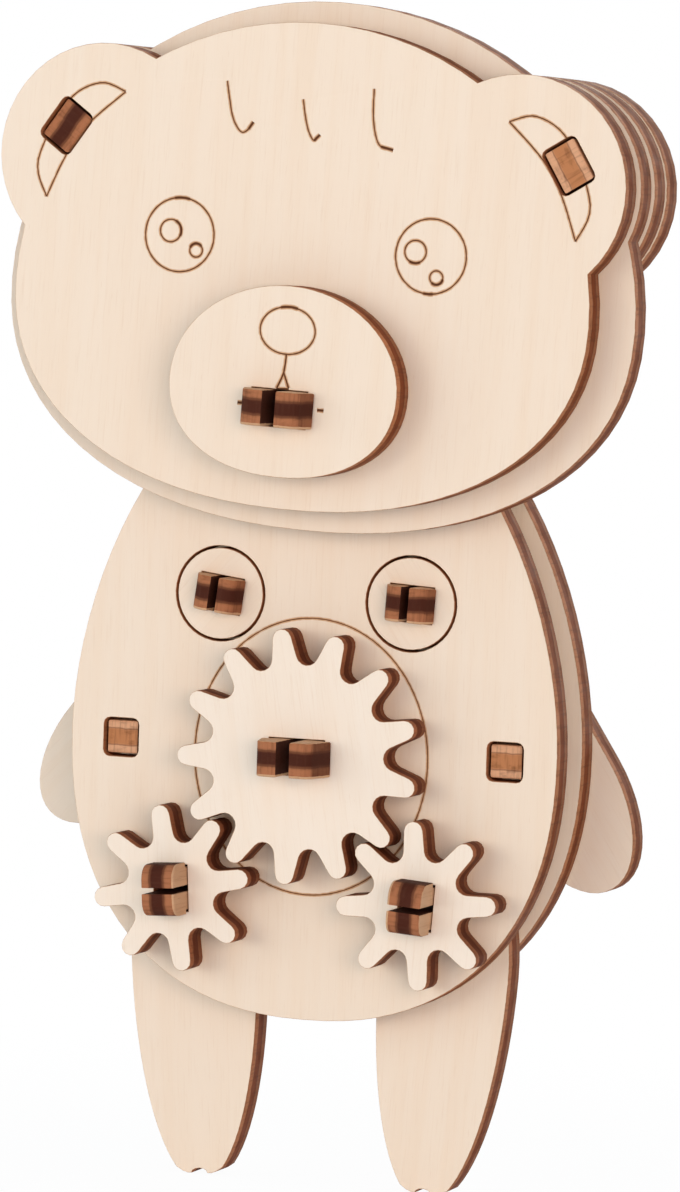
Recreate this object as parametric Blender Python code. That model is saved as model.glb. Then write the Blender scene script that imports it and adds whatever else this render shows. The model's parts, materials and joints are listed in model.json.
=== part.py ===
"""Wooden mechanical puzzle: a bear cub cut from thin plywood, with a gear train on its belly.

Every piece is a flat outline cut from one sheet. The pieces stack in layers along Y and are held by
split snap pins and square pegs. +X is the viewer's right, -Y is the front and +Z is up. The origin
is on the large gear's axis, on the front face of the body's front plate.

What moves: the large gear drives two small gears, each keyed to a leg. Each arm turns on its
shoulder. The head tilts on the pin in its muzzle.
"""

import math

import bpy

MM = 0.001

# The sheet and its stack of layers
PLY = 2.7 * MM
LAYER_GAP = 0.45 * MM
LAYER_PITCH = PLY + LAYER_GAP

# Layers, counted backwards from the body's front plate
MUZZLE_LAYER = -3
FACE_LAYER = -2
HEAD_LAYER = -1
GEAR_LAYER = -1
FRONT_LAYER = 0
LEG_LAYER = 1
BACK_LAYER = 2
ARM_LAYER = 3

# Clearances
KEY_PLAY = 0.15 * MM
TURN_PLAY = 0.2 * MM
DISC_PLAY = 0.2 * MM
PEG_PLAY = 0.25 * MM
EAR_PEG_PLAY = 0.25 * MM

# Body plates: egg shape, pointed upwards
BODY_HALF_WIDTH = 21.0 * MM
BODY_WAIST_Z = 1.0 * MM
BODY_RISE = 31.1 * MM
BODY_DROP = 22.6 * MM
BODY_UPPER_POWER = 1.833
BODY_LOWER_POWER = 2.3

# Square spacer pegs that hold the two body plates apart
PEG_X = 16.62 * MM
PEG_Z = 0.4 * MM
PEG_TENON = 2.6 * MM
PEG_HOLE_ROUND = 0.55 * MM
PEG_SHOULDER = 6.4 * MM
PEG_RECESS = 0.4 * MM

# Gears: round-tipped teeth with round valleys between them
LARGE_TEETH = 13
LARGE_TIP_R = 10.37 * MM
LARGE_ROOT_R = 7.46 * MM
SMALL_TEETH = 8
SMALL_TIP_R = 6.8 * MM
SMALL_ROOT_R = 3.85 * MM
TOOTH_ROUND = 0.8 * MM
VALLEY_ROUND = 0.95 * MM
LEG_AXLE_X = 10.557 * MM
LEG_AXLE_Z = -11.297 * MM
LARGE_PHASE = -9.4
SMALL_KEY_ANGLE = -7.35

# Large split pin, on the large gear and the head: it widens from its tip to its barbs
BIG_PIN_SHAFT = 4.5 * MM
BIG_PIN_TIP = 4.5 * MM
BIG_PIN_BARBS = 6.0 * MM
BIG_PIN_SLIT = 1.15 * MM
BIG_PIN_HEAD = 8.0 * MM
GEAR_PIN_REACH = 3.1 * MM
MUZZLE_PIN_REACH = 2.3 * MM

# Small split pin, on the legs and the shoulders
SMALL_PIN_SHAFT = 3.5 * MM
SMALL_PIN_BARBS = 4.2 * MM
SMALL_PIN_HEAD = 6.2 * MM
LEG_PIN_TIP = 1.8 * MM
LEG_PIN_CORNER = 1.2 * MM
LEG_PIN_SLIT = 0.5 * MM
LEG_PIN_REACH = 2.8 * MM
SHOULDER_PIN_TIP = 3.0 * MM
SHOULDER_PIN_SLIT = 0.7 * MM
SHOULDER_PIN_REACH = 1.7 * MM
BARB_GAP = 0.2 * MM
PIN_HEAD_LENGTH = 2.4 * MM
PIN_SLIT_END = 1.2 * MM

# Legs
LEG_HALF_WIDTH = 5.55 * MM
LEG_OUTSET = 0.72 * MM
LEG_CALF_Z = -6.0 * MM
LEG_DROP = 19.0 * MM
LEG_RISE = 11.0 * MM
FOOT_CUT = 0.85 * MM
FOOT_ROUND = 0.6 * MM
TOE_NOTCH_WIDTH = 1.4 * MM
TOE_NOTCH_DEPTH = 0.4 * MM
LEFT_LEG_TURN = -3.4
RIGHT_LEG_TURN = 3.7

# Arms and their shoulder discs
SHOULDER_X = 8.24 * MM
SHOULDER_Z = 12.62 * MM
DISC_R = 3.7 * MM
ARM_SHOULDER_R = 4.9 * MM
ARM_LENGTH = 27.2 * MM
ARM_HAND_START = 18.2 * MM
ARM_HALF_WIDTH = 5.02 * MM
ARM_NEUTRAL = 36.0
LEFT_ARM_TURN = 7.4
RIGHT_ARM_TURN = 3.2

# Head: sizes are from the head's own centre, which sits above the pivot. The face, the nape, the
# ears and the ears' pegs are set from the head's widest line.
PIVOT_Z = 28.15 * MM
HEAD_RISE = 6.85 * MM
HEAD_TILT = 2.93
HEAD_HALF_WIDTH = 26.72 * MM
EAR_INSET = 9.02 * MM
EAR_X = HEAD_HALF_WIDTH - EAR_INSET
EAR_Z = 11.95 * MM
EAR_R = 8.88 * MM
FACE_INSET = 2.27 * MM
FACE_HALF_WIDTH = HEAD_HALF_WIDTH - FACE_INSET
FACE_SHIFT = -0.36 * MM
FACE_MID_Z = 1.5 * MM
FACE_UP = 22.14 * MM
FACE_DOWN = 16.52 * MM
FACE_LOWER_POWER = 2.2
HEAD_OUTSET = 0.3 * MM
HEAD_SHIFT = -0.14 * MM
HEAD_MID_Z = 1.3 * MM
HEAD_UP = 24.15 * MM
HEAD_DOWN = 18.05 * MM
HEAD_UPPER_POWER = 2.0
HEAD_LOWER_POWER = 2.21
NAPE_INSET = 3.72 * MM
NAPE_HALF_WIDTH = HEAD_HALF_WIDTH - NAPE_INSET
NAPE_UP = 21.0 * MM
NAPE_DOWN = 14.5 * MM
MUZZLE_HALF_WIDTH = 9.66 * MM
MUZZLE_SHIFT = 0.17 * MM
MUZZLE_MID_Z = -5.15 * MM
MUZZLE_UP = 7.99 * MM
MUZZLE_DOWN = 7.17 * MM
MUZZLE_LOWER_POWER = 2.2
EAR_PEG_OUT = 3.65 * MM
EAR_PEG_X = EAR_X + EAR_PEG_OUT
EAR_PEG_Z = 13.97 * MM
EAR_PEG_LEAN = 56.5
EAR_PEG_WIDTH = 3.5 * MM
EAR_PEG_RECESS = 0.2 * MM

VENEER = (0.86, 0.76, 0.62, 1.0)
SCORCHED = (0.30, 0.145, 0.075, 1.0)

COLLECTION_NAME = "wooden_bear_puzzle"


def clear_scene():
    """Remove every object, so that the script starts from an empty scene."""
    for thing in list(bpy.data.objects):
        bpy.data.objects.remove(thing, do_unlink=True)


def wood(name, colour):
    """One piece's own material: unvarnished birch plywood."""
    material = bpy.data.materials.new(name)
    material.use_nodes = True
    shader = material.node_tree.nodes["Principled BSDF"]
    shader.inputs["Base Color"].default_value = colour
    shader.inputs["Roughness"].default_value = 0.6
    shader.inputs["Metallic"].default_value = 0.0
    material.diffuse_color = colour
    return material


def layer_y(layer):
    """Middle of a layer's sheet along Y."""
    return PLY / 2 + layer * LAYER_PITCH


def layer_front(layer):
    return layer_y(layer) - PLY / 2


def layer_back(layer):
    return layer_y(layer) + PLY / 2


def arc(x, z, radius, start, end, count):
    """Points on an arc from start to end degrees, both included."""
    points = []
    for step in range(count):
        angle = math.radians(start + (end - start) * step / (count - 1))
        points.append((x + radius * math.cos(angle), z + radius * math.sin(angle)))
    return points


def circle(radius, count, x=0.0, z=0.0):
    return arc(x, z, radius, 0.0, 360.0, count + 1)[:-1]


def mirrored(half):
    """Close a right half that starts and ends on the middle line."""
    return half + [(-x, z) for x, z in reversed(half[1:-1])]


def oval_point(angle, half_width, mid_z, up, down, upper_power=2.0, lower_power=2.0):
    """Point of an egg made of two superellipse halves, at an angle in degrees from +X."""
    across = math.cos(math.radians(angle))
    along = math.sin(math.radians(angle))
    power = upper_power if along >= 0 else lower_power
    reach = up if along >= 0 else down
    x = half_width * math.copysign(abs(across) ** (2.0 / power), across)
    z = mid_z + reach * math.copysign(abs(along) ** (2.0 / power), along)
    return x, z


def oval(count, *shape):
    """Outline of an egg, with its right half mirrored."""
    half = []
    for step in range(count // 2 + 1):
        half.append(oval_point(-90.0 + 360.0 * step / count, *shape))
    half[0] = (0.0, half[0][1])
    half[-1] = (0.0, half[-1][1])
    return mirrored(half)


def rectangle(width, height, turn=0.0, x=0.0, z=0.0):
    """Square-cornered slot, turned clockwise in degrees as the front shows it."""
    corners = [(-width / 2, -height / 2), (width / 2, -height / 2),
               (width / 2, height / 2), (-width / 2, height / 2)]
    return turned(corners, turn, x, z)


def rounded_rectangle(width, height, radius, turn=0.0, x=0.0, z=0.0):
    points = []
    for quarter in range(4):
        side = 1 if quarter in (0, 3) else -1
        level = 1 if quarter in (0, 1) else -1
        corner_x = side * (width / 2 - radius)
        corner_z = level * (height / 2 - radius)
        points += arc(corner_x, corner_z, radius, 90.0 * quarter, 90.0 * quarter + 90.0, 4)
    return turned(points, turn, x, z)


def turned(points, turn, x, z):
    """Turn points clockwise, then shift them."""
    angle = math.radians(turn)
    moved = []
    for px, pz in points:
        moved.append((x + px * math.cos(angle) + pz * math.sin(angle),
                      z - px * math.sin(angle) + pz * math.cos(angle)))
    return moved


def shifted(outline, x):
    return [(px + x, pz) for px, pz in outline]


def gear_outline(teeth, tip_r, root_r, arc_count=7):
    """Finger teeth: a round tip and a round valley, joined by the straight line that touches both."""
    tip_centre = tip_r - TOOTH_ROUND
    valley_centre = root_r + VALLEY_ROUND
    half_pitch = math.pi / teeth
    # The flank in the frame of a tooth that points up
    run = valley_centre * math.sin(half_pitch)
    fall = tip_centre - valley_centre * math.cos(half_pitch)
    distance = math.hypot(run, fall)
    flank = math.degrees(math.atan2(-fall, run) + math.acos((TOOTH_ROUND + VALLEY_ROUND) / distance))
    points = []
    for tooth in range(teeth):
        clockwise = 360.0 * tooth / teeth
        tip_angle = math.radians(90.0 - clockwise)
        valley_angle = tip_angle - half_pitch
        points += arc(tip_centre * math.cos(tip_angle), tip_centre * math.sin(tip_angle), TOOTH_ROUND,
                      180.0 - flank - clockwise, flank - clockwise, arc_count)
        middle = 270.0 - clockwise - 180.0 / teeth
        swing = 90.0 - flank - 180.0 / teeth
        points += arc(valley_centre * math.cos(valley_angle), valley_centre * math.sin(valley_angle),
                      VALLEY_ROUND, middle - swing, middle + swing, arc_count)
    return points


def eared_half(shape, ear_x, count=72, ear_count=21):
    """Right half of a head: its egg joined to a round ear, found where the egg crosses the ear."""
    def outside(angle):
        x, z = oval_point(angle, *shape)
        return math.hypot(x - ear_x, z - EAR_Z) > EAR_R

    def crossing(inner, outer):
        for _ in range(40):
            middle = (inner + outer) / 2
            if outside(middle):
                outer = middle
            else:
                inner = middle
        return (inner + outer) / 2

    low = crossing(40.0, 0.0)
    high = crossing(40.0, 90.0)
    half = []
    for step in range(count // 2 + 1):
        angle = -90.0 + 360.0 * step / count
        if angle < low - 1.0:
            half.append(oval_point(angle, *shape))
    low_x, low_z = oval_point(low, *shape)
    high_x, high_z = oval_point(high, *shape)
    start = math.degrees(math.atan2(low_z - EAR_Z, low_x - ear_x))
    end = math.degrees(math.atan2(high_z - EAR_Z, high_x - ear_x))
    half += arc(ear_x, EAR_Z, EAR_R, start, end, ear_count)
    for step in range(count // 2 + 1):
        angle = -90.0 + 360.0 * step / count
        if angle > high + 1.0:
            half.append(oval_point(angle, *shape))
    half[0] = (0.0, half[0][1])
    half[-1] = (0.0, half[-1][1])
    return half


def eared_outline(shape, outset=0.0):
    """A head's egg with two round ears. The egg may sit a little to the right of its ears' middle."""
    right_half = eared_half(shape, EAR_X - outset)
    left_half = eared_half(shape, EAR_X + outset)
    return shifted(right_half + [(-x, z) for x, z in reversed(left_half[1:-1])], outset)


def leg_outline(side):
    """A tapering leg that hangs from its axle. Its foot is cut flat, with a notch between the toes."""
    foot_z = LEG_CALF_Z - LEG_DROP + FOOT_CUT
    half = []
    for step in range(4):
        angle = math.radians(90.0 * step / 3)
        half.append((TOE_NOTCH_WIDTH / 2 * math.sin(angle), foot_z + TOE_NOTCH_DEPTH * math.cos(angle)))
    heel = math.asin((foot_z - LEG_CALF_Z) / LEG_DROP)
    heel_x = LEG_HALF_WIDTH * math.cos(heel)
    half.append((heel_x - FOOT_ROUND, foot_z))
    half.append((heel_x - FOOT_ROUND / 4, foot_z + FOOT_ROUND / 4))
    for step in range(1, 17):
        angle = heel * (1.0 - step / 16)
        half.append((LEG_HALF_WIDTH * math.cos(angle), LEG_CALF_Z + LEG_DROP * math.sin(angle)))
    for step in range(1, 13):
        angle = math.radians(90.0 * step / 12)
        half.append((LEG_HALF_WIDTH * math.cos(angle), LEG_CALF_Z + LEG_RISE * math.sin(angle)))
    half[-1] = (0.0, half[-1][1])
    return [(x + side * LEG_OUTSET, z) for x, z in mirrored(half)]


def arm_outline():
    """An arm that hangs straight down from its shoulder and widens a little to its round hand."""
    half = [(0.0, -ARM_LENGTH)]
    hand_length = ARM_LENGTH - ARM_HAND_START
    for step in range(1, 13):
        angle = math.radians(-90.0 + 90.0 * step / 12)
        half.append((ARM_HALF_WIDTH * math.cos(angle), -ARM_HAND_START + hand_length * math.sin(angle)))
    half += arc(0.0, 0.0, ARM_SHOULDER_R, 0.0, 90.0, 9)
    half[-1] = (0.0, half[-1][1])
    return mirrored(half)


def pin_outline(front, back, shaft, barbs, tip, slit, head, reach, corner=0.0):
    """Split snap pin, seen flat: two barbed prongs in front and a wide stop behind.

    front and back are the faces that it clamps, along Y. The prongs' barbs stand just in front of
    one and the stop just behind the other. A corner above zero rounds the prongs off.
    """
    nose = front - reach
    stop = back + LAYER_GAP
    half = [(slit / 2, stop - PIN_SLIT_END), (slit / 2, nose), (tip / 2, nose)]
    if corner > 0.0:
        for step in range(1, 6):
            angle = math.radians(90.0 * step / 5)
            half.append((barbs / 2 - corner * (1.0 - math.sin(angle)),
                         nose + corner * (1.0 - math.cos(angle))))
    half.append((barbs / 2, front - BARB_GAP))
    half.append((shaft / 2, front - BARB_GAP))
    half.append((shaft / 2, stop))
    half.append((head / 2, stop))
    half.append((head / 2, stop + PIN_HEAD_LENGTH))
    return half + [(-x, y) for x, y in reversed(half)]


def sheet(name, outline, holes, colour, parent, location, rotation):
    """Cut one flat piece from the sheet: an outline with its holes, given the sheet's thickness."""
    curve = bpy.data.curves.new(name, "CURVE")
    curve.dimensions = "2D"
    curve.fill_mode = "BOTH"
    curve.extrude = PLY / 2
    for loop in [outline] + holes:
        spline = curve.splines.new("POLY")
        spline.points.add(len(loop) - 1)
        for point, (x, y) in zip(spline.points, loop):
            point.co = (x, y, 0.0, 1.0)
        spline.use_cyclic_u = True
    piece = bpy.data.objects.new(name, curve)
    curve.materials.append(wood(name, colour))
    collection.objects.link(piece)
    piece.parent = parent
    piece.location = location
    piece.rotation_euler = rotation
    return piece


def plate(name, outline, holes, layer, parent=None, x=0.0, z=0.0, turn=0.0):
    """A piece that stands upright in one layer, turned clockwise as the front shows it."""
    rotation = (math.radians(90.0), math.radians(turn), 0.0)
    return sheet(name, outline, holes, VENEER, parent, (x, layer_y(layer), z), rotation)


def crosswise(name, outline, parent=None, x=0.0, z=0.0, turn=0.0):
    """A piece that runs front to back through the layers: a pin or a peg."""
    return sheet(name, outline, [], SCORCHED, parent, (x, 0.0, z), (0.0, math.radians(turn), 0.0))


def axle(name, x, z, turn):
    """An empty on a joint's axis, turned clockwise to the pose that the piece rests in."""
    empty = bpy.data.objects.new(name, None)
    empty.empty_display_size = 5.0 * MM
    empty.location = (x, 0.0, z)
    empty.rotation_euler = (0.0, math.radians(turn), 0.0)
    collection.objects.link(empty)
    return empty


clear_scene()
collection = bpy.data.collections.new(COLLECTION_NAME)
bpy.context.scene.collection.children.link(collection)

big_bore = math.hypot(BIG_PIN_SHAFT, PLY) / 2 + TURN_PLAY
small_bore = math.hypot(SMALL_PIN_SHAFT, PLY) / 2 + TURN_PLAY
key_height = PLY + 2 * KEY_PLAY
big_key_width = BIG_PIN_SHAFT + 2 * KEY_PLAY
small_key_width = SMALL_PIN_SHAFT + 2 * KEY_PLAY

# Body: two plates with round bores for the pins, held apart by the shouldered pegs
body_shape = (BODY_HALF_WIDTH, BODY_WAIST_Z, BODY_RISE, BODY_DROP,
              BODY_UPPER_POWER, BODY_LOWER_POWER)


def body_holes(shoulder_r):
    holes = [circle(big_bore, 24), circle(big_bore, 24, 0.0, PIVOT_Z)]
    for side in (-1, 1):
        holes.append(circle(small_bore, 24, side * LEG_AXLE_X, LEG_AXLE_Z))
        holes.append(circle(shoulder_r, 40, side * SHOULDER_X, SHOULDER_Z))
        holes.append(rounded_rectangle(PEG_TENON + 2 * PEG_PLAY, PLY + 2 * PEG_PLAY, PEG_HOLE_ROUND,
                                       0.0, side * PEG_X, PEG_Z))
    return holes


plate("body_front_plate", oval(96, *body_shape), body_holes(DISC_R + DISC_PLAY), FRONT_LAYER)
plate("body_back_plate", oval(96, *body_shape), body_holes(small_bore), BACK_LAYER)

tenon_front = layer_front(FRONT_LAYER) + PEG_RECESS
tenon_back = layer_back(BACK_LAYER) - PEG_RECESS
peg_half = [(PEG_TENON / 2, tenon_front), (PEG_TENON / 2, layer_front(LEG_LAYER)),
            (PEG_SHOULDER / 2, layer_front(LEG_LAYER)), (PEG_SHOULDER / 2, layer_back(LEG_LAYER)),
            (PEG_TENON / 2, layer_back(LEG_LAYER)), (PEG_TENON / 2, tenon_back)]
peg_profile = peg_half + [(-x, y) for x, y in reversed(peg_half)]
crosswise("spacer_peg_left", peg_profile, None, -PEG_X, PEG_Z)
crosswise("spacer_peg_right", peg_profile, None, PEG_X, PEG_Z)

# Large gear on its own pin
gear_axle = axle("gear_axle", 0.0, 0.0, 0.0)
large_key = rectangle(big_key_width, key_height, -LARGE_PHASE)
plate("gear_large", gear_outline(LARGE_TEETH, LARGE_TIP_R, LARGE_ROOT_R), [large_key],
      GEAR_LAYER, gear_axle, turn=LARGE_PHASE)
gear_pin = pin_outline(layer_front(GEAR_LAYER), layer_back(BACK_LAYER), BIG_PIN_SHAFT,
                       BIG_PIN_BARBS, BIG_PIN_TIP, BIG_PIN_SLIT, BIG_PIN_HEAD, GEAR_PIN_REACH)
crosswise("gear_large_pin", gear_pin, gear_axle)

# Small gears, each keyed by an upright pin to the leg behind it
small_gear = gear_outline(SMALL_TEETH, SMALL_TIP_R, SMALL_ROOT_R)
upright_key = rectangle(key_height, small_key_width)
small_gear_key = rectangle(key_height, small_key_width, -SMALL_KEY_ANGLE)
leg_pin = pin_outline(layer_front(GEAR_LAYER), layer_back(BACK_LAYER), SMALL_PIN_SHAFT,
                      SMALL_PIN_BARBS, LEG_PIN_TIP, LEG_PIN_SLIT, SMALL_PIN_HEAD, LEG_PIN_REACH,
                      LEG_PIN_CORNER)
for hand, side, leg_turn in (("left", -1, LEFT_LEG_TURN), ("right", 1, RIGHT_LEG_TURN)):
    leg_axle = axle("leg_axle_" + hand, side * LEG_AXLE_X, LEG_AXLE_Z, leg_turn)
    plate("gear_small_" + hand, small_gear, [small_gear_key], GEAR_LAYER, leg_axle,
          turn=SMALL_KEY_ANGLE)
    plate("leg_" + hand, leg_outline(side), [upright_key], LEG_LAYER, leg_axle)
    crosswise("leg_pin_" + hand, leg_pin, leg_axle, turn=90.0)

# Arms behind the back plate, each keyed to a disc that lies flush in the front plate
shoulder_pin = pin_outline(layer_front(FRONT_LAYER), layer_back(ARM_LAYER), SMALL_PIN_SHAFT,
                           SMALL_PIN_BARBS, SHOULDER_PIN_TIP, SHOULDER_PIN_SLIT, SMALL_PIN_HEAD,
                           SHOULDER_PIN_REACH)
level_key = rectangle(small_key_width, key_height)
for hand, side, arm_turn in (("left", -1, LEFT_ARM_TURN), ("right", 1, RIGHT_ARM_TURN)):
    arm_axle = axle("arm_axle_" + hand, side * SHOULDER_X, SHOULDER_Z, arm_turn)
    arm_key = rectangle(small_key_width, key_height, side * ARM_NEUTRAL)
    plate("arm_" + hand, arm_outline(), [arm_key], ARM_LAYER, arm_axle, turn=-side * ARM_NEUTRAL)
    plate("shoulder_disc_" + hand, circle(DISC_R, 40), [level_key], FRONT_LAYER, arm_axle)
    crosswise("shoulder_pin_" + hand, shoulder_pin, arm_axle)

# Head: front layers, ear layers and a back layer, all carried by the pin in the muzzle
head_pivot = axle("head_pivot", 0.0, PIVOT_Z, HEAD_TILT)
head_key = rectangle(big_key_width, key_height, 0.0, 0.0, -HEAD_RISE)


def ear_hole(side, x=0.0, z=0.0):
    return rounded_rectangle(PLY + 2 * EAR_PEG_PLAY, EAR_PEG_WIDTH + 2 * EAR_PEG_PLAY, PEG_HOLE_ROUND,
                             -side * (90.0 - EAR_PEG_LEAN),
                             side * EAR_PEG_X - x, EAR_PEG_Z - z)


head_holes = [head_key, ear_hole(-1), ear_hole(1)]
muzzle_shape = (MUZZLE_HALF_WIDTH, MUZZLE_MID_Z, MUZZLE_UP, MUZZLE_DOWN, 2.0, MUZZLE_LOWER_POWER)
face_shape = (FACE_HALF_WIDTH, FACE_MID_Z, FACE_UP, FACE_DOWN, 2.0, FACE_LOWER_POWER)
head_shape = (HEAD_HALF_WIDTH, HEAD_MID_Z, HEAD_UP, HEAD_DOWN, HEAD_UPPER_POWER, HEAD_LOWER_POWER)
nape_shape = (NAPE_HALF_WIDTH, HEAD_MID_Z, NAPE_UP, NAPE_DOWN, 2.0, 2.0)
muzzle = shifted(oval(64, *muzzle_shape), MUZZLE_SHIFT)
face = shifted(eared_outline(face_shape), FACE_SHIFT)
head = shifted(eared_outline(head_shape, HEAD_OUTSET), HEAD_SHIFT)
nape = eared_outline(nape_shape)
plate("muzzle_plate", muzzle, [head_key], MUZZLE_LAYER, head_pivot, z=HEAD_RISE)
plate("face_plate", face, head_holes, FACE_LAYER, head_pivot, z=HEAD_RISE)
plate("head_plate", head, head_holes, HEAD_LAYER, head_pivot, z=HEAD_RISE)
plate("head_back_plate", nape, head_holes, LEG_LAYER, head_pivot, z=HEAD_RISE)

ear_peg_front = layer_front(FACE_LAYER) + EAR_PEG_RECESS
ear_peg_back = layer_back(LEG_LAYER) - EAR_PEG_RECESS
ear_peg = [(-EAR_PEG_WIDTH / 2, ear_peg_front), (EAR_PEG_WIDTH / 2, ear_peg_front),
           (EAR_PEG_WIDTH / 2, ear_peg_back), (-EAR_PEG_WIDTH / 2, ear_peg_back)]
for hand, side in (("left", -1), ("right", 1)):
    hole = ear_hole(side, side * EAR_X, EAR_Z)
    plate("ear_spacer_" + hand, circle(EAR_R, 56), [hole], FRONT_LAYER, head_pivot,
          side * EAR_X, HEAD_RISE + EAR_Z)
    peg_turn = -90.0 - side * (90.0 - EAR_PEG_LEAN)
    crosswise("ear_peg_" + hand, ear_peg, head_pivot, side * EAR_PEG_X, HEAD_RISE + EAR_PEG_Z,
              peg_turn)
muzzle_pin = pin_outline(layer_front(MUZZLE_LAYER), layer_back(BACK_LAYER), BIG_PIN_SHAFT,
                         BIG_PIN_BARBS, BIG_PIN_TIP, BIG_PIN_SLIT, BIG_PIN_HEAD, MUZZLE_PIN_REACH)
crosswise("muzzle_pin", muzzle_pin, head_pivot)
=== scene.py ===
# %% [markdown]
# # A plywood bear with gears on its belly
#
# The real toy is cut by a laser from one thin birch plywood sheet. Three things make it look real:
# pale veneer with fine fibres, edges that the laser has browned, and thin engraved lines. The packed
# model already has every piece in its true place. This lesson cuts the engraved lines into copies of
# its plates, eases their rims, and gives every piece its wood.

import json
import math

import bmesh
import bpy
from mathutils import Matrix, Vector


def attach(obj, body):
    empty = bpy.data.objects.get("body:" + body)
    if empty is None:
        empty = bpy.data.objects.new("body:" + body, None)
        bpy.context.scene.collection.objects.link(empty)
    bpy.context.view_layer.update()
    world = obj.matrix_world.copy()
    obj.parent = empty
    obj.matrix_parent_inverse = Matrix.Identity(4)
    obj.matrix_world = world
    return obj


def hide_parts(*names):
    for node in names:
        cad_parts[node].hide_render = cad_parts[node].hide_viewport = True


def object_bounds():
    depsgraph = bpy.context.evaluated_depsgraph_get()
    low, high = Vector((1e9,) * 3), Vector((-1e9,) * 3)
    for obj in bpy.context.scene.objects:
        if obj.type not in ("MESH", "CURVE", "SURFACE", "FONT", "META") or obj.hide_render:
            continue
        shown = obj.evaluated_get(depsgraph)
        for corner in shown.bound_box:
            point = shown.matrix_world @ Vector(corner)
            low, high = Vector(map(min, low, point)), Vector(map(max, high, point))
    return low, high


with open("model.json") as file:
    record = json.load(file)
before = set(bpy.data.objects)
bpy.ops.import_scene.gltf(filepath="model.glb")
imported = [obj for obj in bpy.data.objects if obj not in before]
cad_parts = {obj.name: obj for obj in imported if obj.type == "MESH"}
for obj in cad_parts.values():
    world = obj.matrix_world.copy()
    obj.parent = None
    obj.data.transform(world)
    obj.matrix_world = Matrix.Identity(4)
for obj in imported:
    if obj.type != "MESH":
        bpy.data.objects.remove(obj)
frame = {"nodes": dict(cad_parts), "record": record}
cad_low, cad_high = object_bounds()
body_of_node = {}
for body, members in frame["record"]["behaviour"]["bodies"].items():
    for member in members:
        body_of_node[member] = body
print(f"{len(body_of_node)} pieces, {(cad_high.z - cad_low.z) * 1000:.1f} mm tall")

# %% [markdown]
# ## The camera
#
# A photograph of a flat toy shows where its camera stood: the walls of the layers show on the right
# and hardly at all on the left, so the camera stood to the right, a little above the middle. A long
# lens fits, because the layers shrink very little towards the back. The place and the turns below
# were found by matching the outlines of the pieces. The sensor's 36 mm lie along the tall side.

# %% Camera
PHOTO_HEIGHT_PX = 1192
FOCAL_LENGTH_PX = 5681.2
SENSOR_MM = 36.0
CAMERA_PLACE = Vector((0.16328, -0.42717, 0.04212))
CAMERA_AZIMUTH = math.radians(20.669)
CAMERA_ELEVATION = math.radians(3.657)
CAMERA_ROLL = math.radians(1.795)


def add_object(name, data):
    """Make an object and put it in the scene."""
    made = bpy.data.objects.new(name, data)
    bpy.context.scene.collection.objects.link(made)
    return made


back = Vector((math.sin(CAMERA_AZIMUTH) * math.cos(CAMERA_ELEVATION),
               -math.cos(CAMERA_AZIMUTH) * math.cos(CAMERA_ELEVATION),
               math.sin(CAMERA_ELEVATION)))
level = Vector((math.cos(CAMERA_AZIMUTH), math.sin(CAMERA_AZIMUTH), 0.0))
upright = back.cross(level)
right = level * math.cos(CAMERA_ROLL) + upright * math.sin(CAMERA_ROLL)
up = upright * math.cos(CAMERA_ROLL) - level * math.sin(CAMERA_ROLL)
camera_data = bpy.data.cameras.new("photo_camera")
camera_data.sensor_width = SENSOR_MM
camera_data.lens = FOCAL_LENGTH_PX / PHOTO_HEIGHT_PX * SENSOR_MM
camera_data.clip_start = 0.01
camera_data.clip_end = 20.0
camera = add_object("photo_camera", camera_data)
camera.matrix_world = Matrix.LocRotScale(CAMERA_PLACE, Matrix((right, up, back)).transposed(), None)
bpy.context.scene.camera = camera
bpy.context.scene.view_settings.view_transform = "Standard"
print(f"lens {camera_data.lens:.1f} mm, {CAMERA_PLACE.length * 1000:.0f} mm from the belly")

# %% [markdown]
# ## Helpers for shader nodes
#
# A material is a small graph of nodes. A few helpers keep the cells short. One adds a node and wires
# its inputs, the next ones add the kinds of node that come up most, and the last one starts a node
# group with named inputs and outputs.

# %% Node helpers
def add_node(tree, kind, inputs=None, **settings):
    """Add a node. Each input gets either a plain value or another node's output."""
    node = tree.nodes.new(kind)
    for key, value in settings.items():
        setattr(node, key, value)
    for key, value in (inputs or {}).items():
        if isinstance(value, bpy.types.NodeSocket):
            tree.links.new(value, node.inputs[key])
        else:
            node.inputs[key].default_value = value
    return node


def maths(tree, operation, *values):
    """The result of one operation on plain values and other nodes' outputs."""
    return add_node(tree, "ShaderNodeMath", dict(enumerate(values)), operation=operation).outputs[0]


def mixed(tree, factor, first, second):
    """Mix two colours: the first where the factor is 0, the second where it is 1."""
    inputs = {0: factor, 6: first, 7: second}
    return add_node(tree, "ShaderNodeMix", inputs, data_type="RGBA").outputs[2]


def mixed_value(tree, factor, first, second):
    """Mix two plain numbers in the same way."""
    inputs = {0: factor, 2: first, 3: second}
    return add_node(tree, "ShaderNodeMix", inputs, data_type="FLOAT").outputs[0]


def ramp(tree, value, low, high, to_low=0.0, to_high=1.0):
    """Map a value smoothly from one range to another, and stop at its ends."""
    inputs = {"Value": value, "From Min": low, "From Max": high, "To Min": to_low, "To Max": to_high}
    return add_node(tree, "ShaderNodeMapRange", inputs, interpolation_type="SMOOTHSTEP").outputs[0]


def stretched_noise(tree, place, scale, detail=2.0, roughness=0.5):
    """Noise that is drawn out: scale gives the number of its waves per millimetre on each axis."""
    spread = add_node(tree, "ShaderNodeVectorMath", {0: place, 1: scale}, operation="MULTIPLY")
    node = add_node(tree, "ShaderNodeTexNoise", {"Vector": spread.outputs[0], "Scale": 1.0,
                                                 "Detail": detail, "Roughness": roughness})
    return node.outputs[0]


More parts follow.
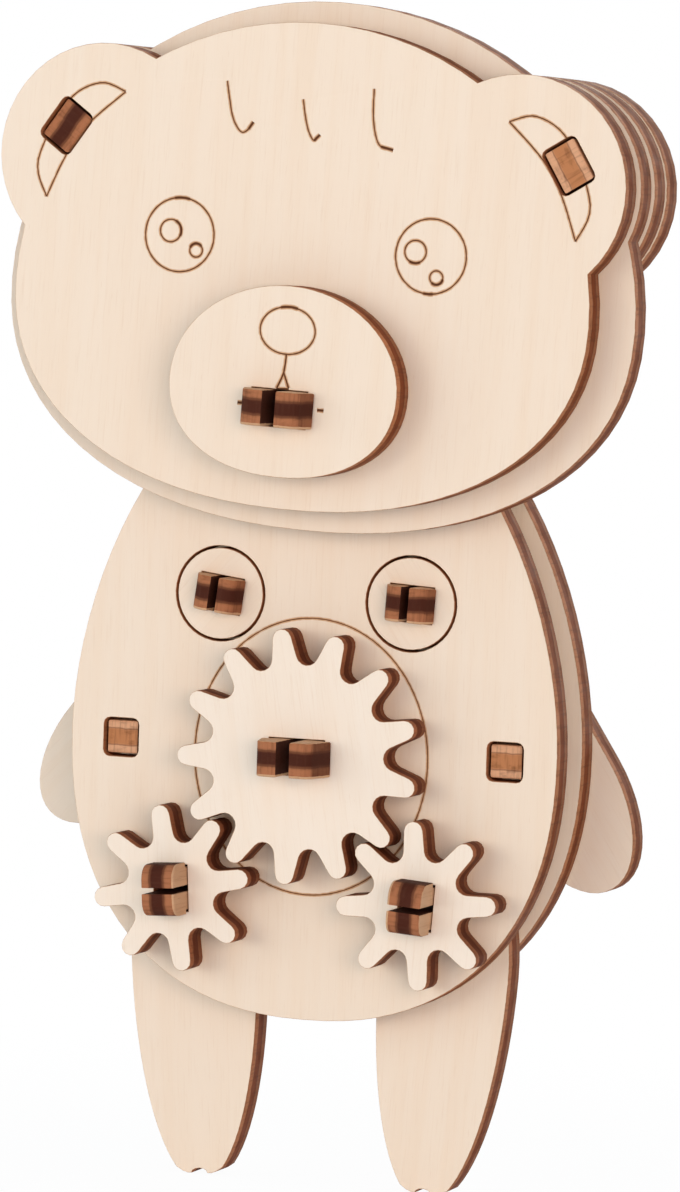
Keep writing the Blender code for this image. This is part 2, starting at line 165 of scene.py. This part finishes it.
def start_group(name, inputs, outputs):
    """Start a node group. Each entry of inputs is a name, a socket kind and a default."""
    group = bpy.data.node_groups.new(name, "ShaderNodeTree")
    for title, kind, default in inputs:
        socket = group.interface.new_socket(title, in_out="INPUT", socket_type="NodeSocket" + kind)
        if default is not None:
            socket.default_value = default
    for title, kind in outputs:
        group.interface.new_socket(title, in_out="OUTPUT", socket_type="NodeSocket" + kind)
    return group, group.nodes.new("NodeGroupInput"), group.nodes.new("NodeGroupOutput")


print("node helpers are ready")

# %% [markdown]
# ## Birch veneer
#
# The sheet's faces are birch veneer, cream with a breath of pink. Seen close, it has fibres a tenth
# of a millimetre wide that run along the grain, wider bands from the growth rings, and a few short
# dark flecks where a pore was cut open. Each is noise, drawn out along the grain. Every piece will
# carry its own sheet coordinates in millimetres: across the grain, along it, and the depth in the
# sheet. So the grain turns with the piece, and two pieces never show the same patch.

# %% Veneer group
veneer, v_in, v_out = start_group(
    "birch_veneer",
    [("Place", "Vector", None), ("Pale", "Color", (0.88, 0.75, 0.605, 1.0)),
     ("Warm", "Color", (0.855, 0.685, 0.515, 1.0)), ("Fibre", "Color", (0.76, 0.58, 0.42, 1.0))],
    [("Color", "Color"), ("Roughness", "Float"), ("Height", "Float")])
place = v_in.outputs["Place"]
bands = stretched_noise(veneer, place, (0.55, 0.02, 0.3), 3.0, 0.55)
clouds = stretched_noise(veneer, place, (0.07, 0.03, 0.1), 1.0)
fibres = stretched_noise(veneer, place, (5.5, 0.22, 1.0), 3.0, 0.65)
pores = stretched_noise(veneer, place, (9.0, 0.8, 1.0), 1.0)
warmth = maths(veneer, "ADD", ramp(veneer, bands, 0.35, 0.7, 0.0, 0.4),
               ramp(veneer, clouds, 0.35, 0.65, 0.0, 0.1))
ground = mixed(veneer, warmth, v_in.outputs["Pale"], v_in.outputs["Warm"])
fibre_mask = ramp(veneer, fibres, 0.5, 0.78, 0.0, 0.32)
pore_mask = ramp(veneer, pores, 0.72, 0.8, 0.0, 0.4)
marks = maths(veneer, "MAXIMUM", fibre_mask, pore_mask)
coloured = mixed(veneer, marks, ground, v_in.outputs["Fibre"])
veneer.links.new(coloured, v_out.inputs["Color"])
veneer.links.new(ramp(veneer, fibres, 0.3, 0.7, 0.5, 0.66), v_out.inputs["Roughness"])
veneer.links.new(maths(veneer, "SUBTRACT", 1.0, marks), v_out.inputs["Height"])
print("veneer group:", len(veneer.nodes), "nodes")

# %% [markdown]
# ## Scorched plies
#
# The laser leaves the cut edge brown. Thin plywood is three plies glued together, and the middle one
# runs across the other two. Its end grain scorches darker, so an edge shows a dark core between two
# lighter plies, with a thin dark line of glue on each side. An edge can also grow darker towards the
# back of the sheet, so on a plate the front ply stays the lightest. The beam also leaves fine ridges
# straight through the sheet. The depth in the sheet picks the ply, and noise breaks up the plies'
# borders.

# %% Scorched plies group
SHEET_MM = 2.7

plies, p_in, p_out = start_group(
    "scorched_plies",
    [("Place", "Vector", None), ("Outer", "Color", (0.50, 0.24, 0.14, 1.0)),
     ("Core", "Color", (0.20, 0.068, 0.034, 1.0)), ("Ash", "Color", (0.09, 0.032, 0.018, 1.0)),
     ("Half Core", "Float", 0.19), ("Blur", "Float", 0.035), ("Back Darkening", "Float", 0.0)],
    [("Color", "Color"), ("Roughness", "Float"), ("Height", "Float")])
place = p_in.outputs["Place"]
depth = add_node(plies, "ShaderNodeSeparateXYZ", {0: place}).outputs[2]
wander = stretched_noise(plies, place, (0.9, 0.9, 0.2))
share = maths(plies, "ADD", maths(plies, "DIVIDE", depth, SHEET_MM),
              maths(plies, "MULTIPLY", maths(plies, "SUBTRACT", wander, 0.5), 0.10))
from_middle = maths(plies, "ABSOLUTE", maths(plies, "SUBTRACT", share, 0.5))
past_core = maths(plies, "SUBTRACT", from_middle, p_in.outputs["Half Core"])
blur = p_in.outputs["Blur"]
core_mask = ramp(plies, past_core, maths(plies, "MULTIPLY", blur, -1.0), blur, 1.0, 0.0)
glue_mask = ramp(plies, maths(plies, "ABSOLUTE", past_core), 0.0, 0.035, 0.5, 0.0)
ridges = stretched_noise(plies, place, (4.0, 4.0, 0.35), 2.0, 0.6)
soot = stretched_noise(plies, place, (0.7, 0.7, 1.6), 3.0, 0.6)
wood = mixed(plies, core_mask, p_in.outputs["Outer"], p_in.outputs["Core"])
# The edge grows darker towards the back of the sheet
darker_to_back = maths(plies, "MULTIPLY", ramp(plies, share, 0.1, 1.0), p_in.outputs["Back Darkening"])
wood = mixed(plies, darker_to_back, wood, p_in.outputs["Ash"])
wood = mixed(plies, ramp(plies, ridges, 0.45, 0.75, 0.0, 0.35), wood, p_in.outputs["Ash"])
wood = mixed(plies, ramp(plies, soot, 0.5, 0.75, 0.0, 0.45), wood, p_in.outputs["Ash"])
wood = mixed(plies, glue_mask, wood, p_in.outputs["Ash"])
plies.links.new(wood, p_out.inputs["Color"])
plies.links.new(ramp(plies, soot, 0.3, 0.7, 0.55, 0.75), p_out.inputs["Roughness"])
plies.links.new(ridges, p_out.inputs["Height"])
print("scorched plies group:", len(plies.nodes), "nodes")

# %% [markdown]
# ## How deep the burn goes
#
# One thing joins the two finishes: wherever the surface dips below the sheet's face, the laser has
# been. A hair below the face the wood is only toasted, as along every rim and engraved line, and
# deeper it is scorched. So one group turns the depth below the nearer face into two masks.

# %% Burn group
burn, b_in, b_out = start_group(
    "burn_by_depth", [("Place", "Vector", None), ("Toast Depth", "Float", 0.016),
                      ("Scorch Depth", "Float", 0.055)],
    [("Toast", "Float"), ("Scorch", "Float")])
place = b_in.outputs["Place"]
depth = add_node(burn, "ShaderNodeSeparateXYZ", {0: place}).outputs[2]
below = maths(burn, "MINIMUM", depth, maths(burn, "SUBTRACT", SHEET_MM, depth))
flicker = stretched_noise(burn, place, (2.2, 2.2, 0.5))
below = maths(burn, "MULTIPLY", below, ramp(burn, flicker, 0.2, 0.8, 0.6, 1.4))
burn.links.new(ramp(burn, below, 0.002, b_in.outputs["Toast Depth"]), b_out.inputs["Toast"])
burn.links.new(ramp(burn, below, b_in.outputs["Toast Depth"], b_in.outputs["Scorch Depth"]),
               b_out.inputs["Scorch"])
print("burn group:", len(burn.nodes), "nodes")

# %% [markdown]
# ## The four materials
#
# The pieces are cut from the same kind of sheet, yet their edges look different. The plates' walls
# go from brown in front to dark at the back. The gears' walls are darker, and their veneer is a
# little paler. The pins' front ends show light outer plies around a dark core, while their flanks
# and the pegs' flanks carry a painted shade that is nearly black, as they are turned away from the
# light. The pins' and pegs' veneer, seen from the side, is painted darker and browner, as shade.
# Most pegs' ends are lighter still. Each material is the same small graph with its own colours. An
# attribute named end says how far a face is turned to the front or the back. It tells the ends of a
# pin from its flanks, and an engraved line from the plate's walls.

# %% Plywood materials
TOAST = (0.62, 0.36, 0.19, 1.0)
ENGRAVED = (0.23, 0.10, 0.05, 1.0)
# Painted shade: the near-black colour of the pins' and pegs' flanks
SHADED_FLANK = (0.06, 0.019, 0.011, 1.0)
BRIGHT = {"Pale": (0.91, 0.80, 0.67, 1.0), "Warm": (0.885, 0.74, 0.585, 1.0)}
# Painted shade: pins and pegs lie crosswise, so their veneer is seen from the side, and these darker,
# browner tones stand in for the shade on it
SHADED_SIDE_VENEER = {"Pale": (0.62, 0.38, 0.22, 1.0), "Warm": (0.46, 0.23, 0.115, 1.0),
           "Fibre": (0.26, 0.11, 0.05, 1.0)}
SHEEN = 0.06
BUMP_STRENGTH = 0.35
BUMP_DEPTH_M = 0.00003


def group_node(tree, group, inputs):
    """Use one of the node groups in a material."""
    return add_node(tree, "ShaderNodeGroup", inputs, node_tree=group)


def plywood(name, outer, core, half_core, blur, back_darkening=0.0, shaded_flank=None, tones=None):
    """Veneer on the faces, toasted rims and lines, scorched plies on the edges."""
    material = bpy.data.materials.new(name)
    material.use_nodes = True
    tree = material.node_tree
    shader = tree.nodes["Principled BSDF"]
    shader.inputs["Specular IOR Level"].default_value = SHEEN
    sheet = add_node(tree, "ShaderNodeAttribute", attribute_name="sheet").outputs["Vector"]
    faces = group_node(tree, veneer, {"Place": sheet, **(tones or {})})
    edges = group_node(tree, plies, {"Place": sheet, "Outer": outer, "Core": core,
                                     "Half Core": half_core, "Blur": blur, "Back Darkening": back_darkening})
    depths = group_node(tree, burn, {"Place": sheet})
    end = add_node(tree, "ShaderNodeAttribute", attribute_name="end").outputs["Fac"]
    # A face turned sideways gets the painted shade of a flank instead of its plies
    if shaded_flank:
        edge_colour = mixed(tree, ramp(tree, end, 0.0, 0.6), shaded_flank, edges.outputs["Color"])
    else:
        edge_colour = mixed(tree, ramp(tree, end, 0.1, 0.35), edges.outputs["Color"], ENGRAVED)
    scorch = depths.outputs["Scorch"]
    colour = mixed(tree, depths.outputs["Toast"], faces.outputs["Color"], TOAST)
    colour = mixed(tree, scorch, colour, edge_colour)
    tree.links.new(colour, shader.inputs["Base Color"])
    rough = mixed_value(tree, scorch, faces.outputs["Roughness"], edges.outputs["Roughness"])
    tree.links.new(rough, shader.inputs["Roughness"])
    height = mixed_value(tree, scorch, faces.outputs["Height"], edges.outputs["Height"])
    bump = add_node(tree, "ShaderNodeBump", {"Strength": BUMP_STRENGTH, "Distance": BUMP_DEPTH_M,
                                             "Height": height})
    tree.links.new(bump.outputs[0], shader.inputs["Normal"])
    return material


plate_wood = plywood("plate_plywood", (0.49, 0.19, 0.08, 1.0), (0.25, 0.062, 0.018, 1.0), 0.19, 0.035,
                     back_darkening=0.55)
# The gears' edge colours are darker than the plates', and their veneer is paler
gear_wood = plywood("gear_plywood", (0.37, 0.13, 0.055, 1.0), (0.15, 0.037, 0.013, 1.0), 0.19, 0.035,
                    back_darkening=0.55, tones=BRIGHT)
pin_wood = plywood("pin_plywood", (0.40, 0.155, 0.07, 1.0), (0.065, 0.017, 0.009, 1.0), 0.23, 0.09,
                   shaded_flank=SHADED_FLANK, tones=SHADED_SIDE_VENEER)
peg_wood = plywood("peg_plywood", (0.68, 0.37, 0.21, 1.0), (0.49, 0.205, 0.085, 1.0), 0.25, 0.06,
                   shaded_flank=SHADED_FLANK, tones=SHADED_SIDE_VENEER)
print("materials:", plate_wood.name, gear_wood.name, pin_wood.name, peg_wood.name)

# %% [markdown]
# ## A piece on the bench
#
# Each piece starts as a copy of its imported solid, scaled up to millimetres, because Blender's tools
# work best on numbers near one. Loose triangles are merged, and flat ones become whole faces again.
# A laser leaves a clean rim, so a plate's rims are eased by a very narrow bevel, and the corners of
# its slots stay sharp. Pins and pegs are pushed in by hand: their rims are rounder, and the prongs'
# noses are round too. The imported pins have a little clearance, and a real pin fills its slot. So both
# faces of a pin move out by eight hundredths of a millimetre.

# %% Bench helpers
MM_PER_M = 1000.0
MERGE_MM = 0.002
FLAT_DEGREES = 0.4
PLATE_RIM_MM = 0.06
PIN_RIM_MM = 0.11
PEG_RIM_MM = 0.16
NOSE_MM = 0.6
NOSE_DEGREES = (20.0, 88.0)
NOSE_FRONT_SHARE = 0.7
PIN_FILL_MM = 0.08
FACE_SHARE = 0.95
WALL_SHARE = 0.15
CORNER_DEGREES = 40.0


def on_the_bench(node):
    """A merged copy of a node's mesh in millimetres, and the way that its sheet faces."""
    work = bmesh.new()
    work.from_mesh(frame["nodes"][node].data)
    bmesh.ops.scale(work, vec=(MM_PER_M,) * 3, verts=work.verts)
    bmesh.ops.remove_doubles(work, verts=work.verts, dist=MERGE_MM)
    bmesh.ops.dissolve_limit(work, angle_limit=math.radians(FLAT_DEGREES), verts=work.verts,
                             edges=work.edges)
    facing = max(work.faces, key=lambda face: face.calc_area()).normal.copy()
    if facing.y > 0.5 or facing.z < -0.5:
        facing.negate()
    return work, facing


def side(face, facing):
    """Which part of a cut sheet a face is: its veneer, its cut edge, or its eased rim."""
    share = abs(face.normal.dot(facing))
    if share > FACE_SHARE:
        return "face"
    return "edge" if share < WALL_SHARE else "rim"


def thicken(work, facing, amount):
    """Move both faces of a sheet outwards."""
    middle = sum(point.co.dot(facing) for point in work.verts) / len(work.verts)
    for point in work.verts:
        way = 1.0 if point.co.dot(facing) > middle else -1.0
        point.co += facing * way * amount


def round_noses(work, facing, width=NOSE_MM):
    """Round the blunt corners at the front end of a pin's prongs."""
    noses = []
    for edge in work.edges:
        is_cut = all(side(face, facing) == "edge" for face in edge.link_faces)
        at_front = min(face.normal.y for face in edge.link_faces) < -NOSE_FRONT_SHARE
        turned = math.degrees(edge.calc_face_angle(0.0))
        if is_cut and at_front and NOSE_DEGREES[0] < turned < NOSE_DEGREES[1]:
            noses.append(edge)
    bmesh.ops.bevel(work, geom=noses, offset=width, offset_type="OFFSET", segments=5, profile=0.5,
                    affect="EDGES", clamp_overlap=True, material=-1)


def ease_rims(work, facing, width):
    """Bevel each edge where the veneer meets a cut edge, and count them."""
    rims = []
    for edge in work.edges:
        kinds = {side(face, facing) for face in edge.link_faces}
        if kinds == {"face", "edge"}:
            rims.append(edge)
    bmesh.ops.bevel(work, geom=rims, offset=width, offset_type="OFFSET", segments=2, profile=0.5,
                    affect="EDGES", clamp_overlap=True, material=-1)
    return len(rims)


def sharpen(work, facing):
    """Smooth the curved edges, and keep a crisp line wherever the kind of surface changes."""
    for face in work.faces:
        face.smooth = True
    for edge in work.edges:
        kinds = {side(face, facing) for face in edge.link_faces}
        turned = edge.calc_face_angle(0.0) > math.radians(CORNER_DEGREES)
        edge.smooth = len(kinds) == 1 and not turned


def take_mesh(work, name):
    """Turn a bench mesh into a mesh of its own, and clear the bench."""
    mesh = bpy.data.meshes.new(name)
    work.to_mesh(mesh)
    work.free()
    return mesh


print("bench helpers are ready")

# %% [markdown]
# ## The sheet coordinates
#
# Before a piece leaves the bench, each of its points notes where it lies in its own sheet. The grain
# runs along the piece's own length, and every piece is moved to a patch of its own.

# %% Finish a piece
PATCH_MM = 61.0


def lay_out(mesh, facing, grain, patch):
    """Store each point's place in its sheet, across the grain, along it and the depth, and each
    face's turn towards the front or the back."""
    across = grain.cross(facing)
    depths = [point.co.dot(facing) for point in mesh.vertices]
    top = max(depths)
    attribute = mesh.attributes.new("sheet", "FLOAT_VECTOR", "POINT")
    for index, point in enumerate(mesh.vertices):
        attribute.data[index].vector = (point.co.dot(across) + patch * PATCH_MM,
                                        point.co.dot(grain) + patch * PATCH_MM / 3.0,
                                        top - depths[index])
    end = mesh.attributes.new("end", "FLOAT", "FACE")
    for index, face in enumerate(mesh.polygons):
        end.data[index].value = abs(face.normal.y)


def off_the_bench(work, node, facing, grain, material, patch):
    """Turn a bench mesh into a piece in metres that stands for its node and rides with its body."""
    piece_name = node + "_cut"
    sharpen(work, facing)
    mesh = take_mesh(work, piece_name)
    lay_out(mesh, facing, grain, patch)
    mesh.transform(Matrix.Scale(1.0 / MM_PER_M, 4))
    mesh.materials.append(material)
    piece = add_object(piece_name, mesh)
    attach(piece, body_of_node[node])
    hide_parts(node)
    return piece


print("ready to finish pieces")

# %% [markdown]
# ## Engraved lines
#
# The face's eyes, ears, hair and nose, and the oval under the large gear, are lines that the laser
# has drawn. On the real toy they are shallow grooves with toasted shoulders. A bump map would look
# flat from the side, so each line is a real groove: its profile, a small V with two very shallow
# lips, is swept along the line and cut out of the plate. The lips dip by two hundredths of a
# millimetre, just enough for the burn group to toast them.

# %% Groove cutters
LIP_MM = 0.19
LIP_DIP_MM = 0.022
GROOVE_HALF_MM = 0.055
GROOVE_DEPTH_MM = 0.12
CLEAR_MM = 0.1
LIP_RISE_MM = 0.006


def groove_profile(weight):
    """The groove's outline, seen along the line. A heavier line is wider and deeper."""
    half = GROOVE_HALF_MM * weight
    lip = half + LIP_MM
    return [(-lip, LIP_RISE_MM), (-half, -LIP_DIP_MM), (0.0, -GROOVE_DEPTH_MM * weight),
            (half, -LIP_DIP_MM), (lip, LIP_RISE_MM), (lip, CLEAR_MM), (-lip, CLEAR_MM)]


def station(path, index, closed, face_y):
    """Where the profile stands at one point of the path: its own axes, and its place."""
    count = len(path)
    before = path[index - 1] if closed or index > 0 else path[index]
    after = path[(index + 1) % count] if closed or index < count - 1 else path[index]
    ahead = (Vector(after) - Vector(before)).normalized()
    x, z = path[index]
    return Matrix(((ahead.y, 0.0, ahead.x, x), (0.0, -1.0, 0.0, face_y),
                   (-ahead.x, 0.0, ahead.y, z), (0.0, 0.0, 0.0, 1.0)))


def sweep_groove(work, path, closed, weight, face_y):
    """Extrude the groove's profile from point to point of a path on a front face."""
    start = station(path, 0, closed, face_y)
    ring = [work.verts.new(start @ Vector((x, z, 0.0))) for x, z in groove_profile(weight)]
    edges = [work.edges.new((ring[index - 1], ring[index])) for index in range(len(ring))]
    first, here = edges, start
    for index in range(1, len(path)):
        made = bmesh.ops.extrude_edge_only(work, edges=edges)["geom"]
        there = station(path, index, closed, face_y)
        bmesh.ops.transform(work, matrix=there @ here.inverted(),
                            verts=[part for part in made if isinstance(part, bmesh.types.BMVert)])
        edges, here = [part for part in made if isinstance(part, bmesh.types.BMEdge)
                       and len(part.link_faces) == 1], there
    if closed:
        bmesh.ops.bridge_loops(work, edges=first + edges)
    else:
        bmesh.ops.contextual_create(work, geom=first)
        bmesh.ops.contextual_create(work, geom=edges)


def engrave(work, facing, lines, face_y):
    """Cut every line out of a bench mesh. Each line is a path, whether it closes, and its weight."""
    block = add_object("plate_to_engrave", take_mesh(work, "plate_to_engrave"))
    for path, closed, weight in lines:
        cutter_work = bmesh.new()
        sweep_groove(cutter_work, path, closed, weight, face_y)
        bmesh.ops.recalc_face_normals(cutter_work, faces=cutter_work.faces)
        cutter = add_object("groove_cutter", take_mesh(cutter_work, "groove_cutter"))
        cut = block.modifiers.new("groove", "BOOLEAN")
        cut.operation = "DIFFERENCE"
        cut.solver = "EXACT"
        cut.use_self = True
        cut.object = cutter
        graph = bpy.context.evaluated_depsgraph_get()
        result = bpy.data.meshes.new_from_object(block.evaluated_get(graph))
        block.modifiers.clear()
        block.data = result
        bpy.data.objects.remove(cutter)
    engraved = bmesh.new()
    engraved.from_mesh(block.data)
    bpy.data.objects.remove(block)
    return engraved


print("a groove of weight 1 is", 2 * GROOVE_HALF_MM, "mm wide between its lips")

# %% [markdown]
# ## Lines of the face
#
# The face's lines are measured from the head's own centre and then tilted with the head. A few
# points give each stroke, and a smooth curve runs through them.

# %% Face lines
HEAD_TILT_DEGREES = 2.93
HEAD_TILT = math.radians(HEAD_TILT_DEGREES)
HEAD_PIVOT = (0.0, 28.15)
HEAD_RISE = 6.85


def on_head(x, z):
    """A point of the head's own frame, in the toy's frame."""
    risen = z + HEAD_RISE
    return (HEAD_PIVOT[0] + x * math.cos(HEAD_TILT) + risen * math.sin(HEAD_TILT),
            HEAD_PIVOT[1] - x * math.sin(HEAD_TILT) + risen * math.cos(HEAD_TILT))


def ring_line(x, z, half_width, half_height, count, weight=1.0, place=on_head):
    """An oval line that closes."""
    path = []
    for step in range(count):
        angle = 2.0 * math.pi * step / count
        path.append(place(x + half_width * math.cos(angle), z + half_height * math.sin(angle)))
    return path, True, weight


def stroke_line(points, steps=6, weight=1.0):
    """A smooth open line through the points."""
    ends = [points[0]] + points + [points[-1]]
    path = []
    for index in range(1, len(ends) - 2):
        a, b, c, d = (Vector(ends[index + offset]) for offset in (-1, 0, 1, 2))
        for step in range(steps):
            t = step / steps
            path.append((2 * b + (c - a) * t + (2 * a - 5 * b + 4 * c - d) * t ** 2
                         + (3 * b - a - 3 * c + d) * t ** 3) / 2)
    path.append(Vector(points[-1]))
    return [on_head(*point) for point in path], False, weight


BURN_STEPS = 8
BURN_WEIGHT = 1.9


def burnt_ring(x, z, half_width, half_height, count, start, reach):
    """A ring, and a heavier stretch from start - reach to start + reach degrees, where the beam
    started and stopped."""
    arc = []
    for step in range(BURN_STEPS + 1):
        angle = math.radians(start + reach * (2.0 * step / BURN_STEPS - 1.0))
        arc.append(on_head(x + half_width * math.cos(angle), z + half_height * math.sin(angle)))
    return [ring_line(x, z, half_width, half_height, count), (arc, False, BURN_WEIGHT)]


RING_POINTS = 48
GLINT_POINTS = 24
EYE_X, EYE_Z, EYE_R = 10.71, 6.03, 2.96
FACE_SHIFT = -0.12
EYE_STARTS = {-1: (90.0, 13.0), 1: (270.0, 8.0)}
GLINTS = [(-11.5, 6.3, 0.90, 20.0, 45.0), (-9.2, 4.9, 0.55, 100.0, 60.0),
          (9.4, 6.3, 0.90, 270.0, 30.0), (11.3, 4.4, 0.55, 290.0, 60.0)]
HAIR = [[(-7.64, 18.55), (-7.0, 15.9), (-6.45, 14.9), (-6.0, 14.55), (-5.5, 14.86), (-5.14, 15.45)],
        [(-1.05, 17.55), (-0.73, 16.1), (-0.36, 15.0), (0.14, 14.36), (0.59, 14.86)],
        [(4.86, 18.8), (4.95, 16.8), (5.27, 15.2), (5.8, 14.3), (6.86, 14.1)]]
EAR_OUTER = [(16.30, 17.05), (18.6, 17.6), (21.3, 15.9), (23.5, 11.1), (22.54, 8.16)]
EAR_INNER = [(16.30, 17.05), (19.3, 14.3), (21.1, 11.6), (22.54, 8.16)]

face_lines = []
for eye_side in (-1, 1):
    face_lines += burnt_ring(eye_side * EYE_X + FACE_SHIFT, EYE_Z, EYE_R, EYE_R, RING_POINTS,
                             *EYE_STARTS[eye_side])
    for arc in (EAR_OUTER, EAR_INNER):
        face_lines.append(stroke_line([(eye_side * x + FACE_SHIFT, z) for x, z in arc]))
for x, z, radius, start, reach in GLINTS:
    face_lines += burnt_ring(x + FACE_SHIFT, z, radius, radius, GLINT_POINTS, start, reach)
for strand in HAIR:
    shifted = [(x + FACE_SHIFT, z) for x, z in strand]
    face_lines.append(stroke_line(shifted, steps=4))
    face_lines.append(stroke_line([shifted[-2], shifted[-1]], steps=2, weight=BURN_WEIGHT))
print(len(face_lines), "lines on the face")

# %% Muzzle and belly lines
MUZZLE_SHIFT = -0.18
BEAR_NOSE = (0.44 + MUZZLE_SHIFT, -0.69, 2.33, 1.87)
BEAR_NOSE_START = (90.0, 18.0)
BELLY_OVAL = (0.0, -0.2, 10.07, 11.22)
BELLY_POINTS = 96
STRAND_WEIGHT = 1.3
MOUTH_WEIGHT = 1.8
BELLY_WEIGHT = 0.8
STRANDS = [[(0.49, -2.56), (0.38, -4.0), (-0.11, -5.3)], [(0.38, -4.0), (0.89, -5.2)],
           [(-0.13, -5.33), (0.93, -5.27)]]
MOUTH_ENDS = [[(-3.33, -6.7), (-2.71, -6.7)], [(3.44, -6.7), (4.0, -6.7)]]
muzzle_lines = burnt_ring(*BEAR_NOSE, RING_POINTS, *BEAR_NOSE_START)
for strokes, weight in ((STRANDS, STRAND_WEIGHT), (MOUTH_ENDS, MOUTH_WEIGHT)):
    for stroke in strokes:
        shifted = [(x + MUZZLE_SHIFT, z) for x, z in stroke]
        muzzle_lines.append(stroke_line(shifted, steps=3, weight=weight))
belly_lines = [ring_line(*BELLY_OVAL, BELLY_POINTS, BELLY_WEIGHT, lambda x, z: (x, z))]
print(len(muzzle_lines), "lines on the muzzle,", len(belly_lines), "on the belly")

# %% [markdown]
# ## Cut every piece
#
# Plates stand upright with their grain up and down. The legs and arms are long, so their grain
# follows them, and the small gears and the discs, which turn with them, share it. The pins and the
# pegs lie crosswise, with their grain from front to back.

# %% Pieces
LAYER_PITCH_MM = 3.15
lines_of = {"face_plate": (face_lines, -2 * LAYER_PITCH_MM),
            "muzzle_plate": (muzzle_lines, -3 * LAYER_PITCH_MM),
            "body_front_plate": (belly_lines, 0.0)}
GRAIN_TURN_DEGREES = {"head": HEAD_TILT_DEGREES, "left_leg": -3.4, "right_leg": 3.7,
                      "drive_gear": -9.4, "left_arm": 43.4, "right_arm": -32.8}
DARK_PEGS = ("ear_peg_left",)
FRONT_TO_BACK = Vector((0.0, 1.0, 0.0))

pieces = []
for patch, node in enumerate(sorted(body_of_node)):
    work, facing = on_the_bench(node)
    grain, material, rim = FRONT_TO_BACK, pin_wood, PIN_RIM_MM
    if abs(facing.y) > 0.5:
        turn = math.radians(GRAIN_TURN_DEGREES.get(body_of_node[node], 0.0))
        grain = Vector((math.sin(turn), 0.0, math.cos(turn)))
        material, rim = gear_wood if "gear" in node else plate_wood, PLATE_RIM_MM
    elif "peg" in node:
        material, rim = pin_wood if node in DARK_PEGS else peg_wood, PEG_RIM_MM
    else:
        thicken(work, facing, PIN_FILL_MM)
        round_noses(work, facing)
    rim_count = ease_rims(work, facing, rim)
    if node in lines_of:
        lines, face_y = lines_of[node]
        work = engrave(work, facing, lines, face_y)
    pieces.append(off_the_bench(work, node, facing, grain, material, patch))
    print(f"{node}: {rim_count} rim edges eased, {len(pieces[-1].data.polygons)} faces")

# %% [markdown]
# ## Floor, backdrop and light
#
# The photograph has a plain white ground and soft light. Right of each raised piece the veneer looks
# warm, where only the light from the right still reaches, and left of each it stays pale. So a soft
# warm lamp stands on the right, two paler ones stand on the left, and a low, cool light comes from
# everywhere. Where all of them reach, their sum is close to plain white at full strength. A fourth
# lamp lights the toy's back about as brightly as its front. A pale floor fades into a white backdrop.
# Near the toy it still takes a very faint shadow.

# %% Floor and world
FLOOR_M = 6.0
FLOOR_DROP_M = 0.00002
FLOOR_PAINT = (0.93, 0.93, 0.93, 1.0)
FLOOR_FADE_M = (0.03, 0.10)
FLOOR_GLOW = 0.96
AMBIENT = (0.36, 0.45, 0.56, 1.0)
WHITE = (1.0, 1.0, 1.0, 1.0)

floor_work = bmesh.new()
bmesh.ops.create_grid(floor_work, x_segments=1, y_segments=1, size=FLOOR_M)
bmesh.ops.translate(floor_work, vec=(0.0, 0.0, cad_low.z - FLOOR_DROP_M), verts=floor_work.verts)
floor_mesh = take_mesh(floor_work, "floor")
floor = add_object("floor", floor_mesh)


def seen_directly(tree):
    """1 for what the camera, a reflection or a glass sees, and 0 for light that bounces."""
    path = tree.nodes.new("ShaderNodeLightPath")
    shown = maths(tree, "ADD", path.outputs["Is Camera Ray"], path.outputs["Is Glossy Ray"])
    node = add_node(tree, "ShaderNodeMath", {0: shown, 1: path.outputs["Is Transmission Ray"]},
                    operation="ADD", use_clamp=True)
    return node.outputs[0]


floor_paint = bpy.data.materials.new("floor_paint")
floor_paint.use_nodes = True
tree = floor_paint.node_tree
tree.nodes.clear()
spot = add_node(tree, "ShaderNodeTexCoord").outputs["Object"]
reach = add_node(tree, "ShaderNodeVectorMath", {0: spot}, operation="LENGTH").outputs["Value"]
paint = add_node(tree, "ShaderNodeBsdfDiffuse", {"Color": FLOOR_PAINT})
glow = add_node(tree, "ShaderNodeEmission", {"Color": WHITE, "Strength": 1.0})
fade = maths(tree, "MULTIPLY", ramp(tree, reach, *FLOOR_FADE_M, FLOOR_GLOW, 1.0), seen_directly(tree))
blend = add_node(tree, "ShaderNodeMixShader", {0: fade, 1: paint.outputs[0], 2: glow.outputs[0]})
add_node(tree, "ShaderNodeOutputMaterial", {"Surface": blend.outputs[0]})
floor_mesh.materials.append(floor_paint)

world = bpy.data.worlds.new("studio")
bpy.context.scene.world = world
world.use_nodes = True
tree = world.node_tree
sky = tree.nodes["Background"]
tree.links.new(mixed(tree, seen_directly(tree), AMBIENT, WHITE), sky.inputs["Color"])
print("floor at", round(cad_low.z * 1000, 2), "mm")

# %% Lamps
# Each lamp's place in metres, the width of its disk, its power in watts and its colour
LAMPS = {"left_lamp": ((-0.32, -0.88, 0.05), 0.6, 2.5, (1.0, 0.92, 0.78)),
         "far_left_lamp": ((-0.72, -0.60, 0.05), 0.9, 3.15, (0.88, 0.93, 0.90)),
         "right_lamp": ((0.545, -0.778, 0.0), 0.8, 6.45, (1.0, 0.73, 0.58)),
         "back_lamp": ((0.0, 0.94, 0.12), 0.8, 6.0, (1.0, 0.94, 0.84))}
for name, (spot, size, power, colour) in LAMPS.items():
    lamp_data = bpy.data.lights.new(name, "AREA")
    lamp_data.shape = "DISK"
    lamp_data.size = size
    lamp_data.energy = power
    lamp_data.color = colour
    lamp = add_object(name, lamp_data)
    lamp.location = spot
    lamp.rotation_mode = "QUATERNION"
    lamp.rotation_quaternion = (-Vector(spot)).to_track_quat("-Z", "Y")
    lamp.visible_camera = False
    print(name, "at", spot, power, "W")

# %% [markdown]
# ## Sizes, and the end
#
# The imported model's box is printed in millimetres.

# %% Sizes
print("CAD box", [round(v * 1000, 2) for v in (*cad_low, *cad_high)])
